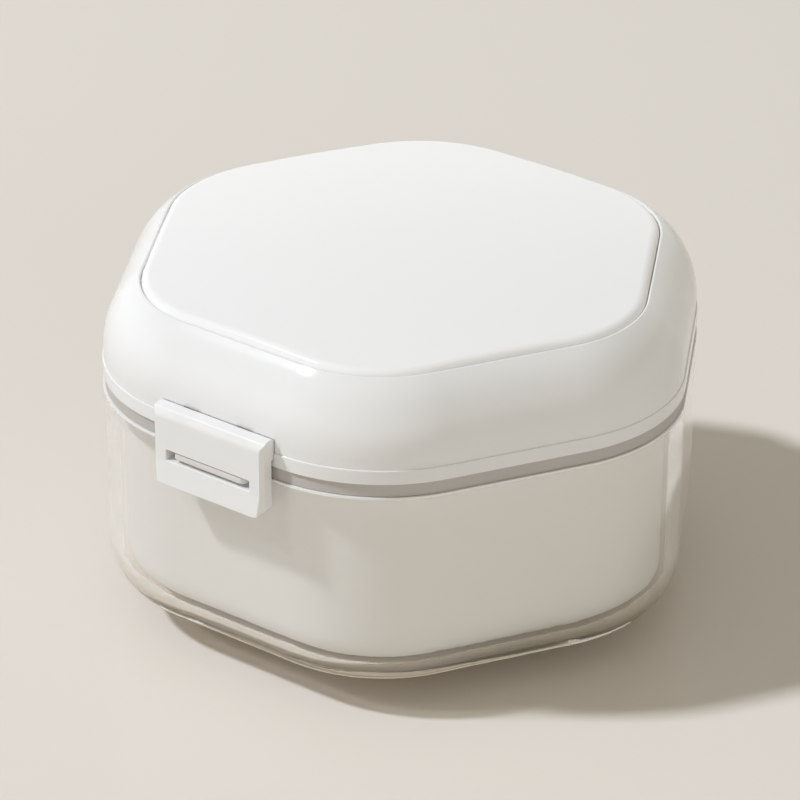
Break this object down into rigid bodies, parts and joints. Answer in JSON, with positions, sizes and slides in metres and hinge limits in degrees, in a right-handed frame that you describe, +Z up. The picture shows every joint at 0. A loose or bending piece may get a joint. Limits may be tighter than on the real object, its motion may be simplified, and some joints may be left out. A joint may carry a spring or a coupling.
{
  "type": "hinged hexagonal aligner case",
  "caption": "Pocket case with a rounded hexagon outline, a domed hinged lid, a snap latch and an inner tray in a clear bowl.",
  "frame": {"origin": "middle of the flat underside of the bowl's foot, on the surface that the case stands on", "axes": "+Z up, -Y to the front with the latch, +Y to the back with the hinge, +X along the hinge axis"},
  "size_m": [0.0896, 0.0917, 0.0545],
  "materials": {
    "clear_plastic": "clear, polished",
    "tray_plastic": "white, satin",
    "pin_steel": "drawn",
    "lid_plastic": "white, glossy",
    "panel_plastic": "white, glossy",
    "liner_plastic": "white, satin",
    "seal_silicone": "grey, matte",
    "latch_pin_steel": "drawn",
    "latch_plastic": "white, glossy"
  },
  "bodies": {
    "base": {"base_shell": "clear_plastic", "inner_tray": "tray_plastic", "hinge_pin": "pin_steel"},
    "lid": {"lid_shell": "lid_plastic", "lid_panel": "panel_plastic", "lid_liner": "liner_plastic", "seal_ring": "seal_silicone", "latch_pin": "latch_pin_steel"},
    "latch": {"latch": "latch_plastic"}
  },
  "joints": [
    {"name": "lid_open", "type": "hinge", "parent": "base", "child": "lid", "pos_m": [0, 0.0447, 0.03685], "axis": [-1, 0, 0], "range_deg": [0, 110]},
    {"name": "latch_swing", "type": "hinge", "parent": "lid", "child": "latch", "pos_m": [0, -0.0428, 0.0406], "axis": [-1, 0, 0], "range_deg": [0, 100]}
  ]
}
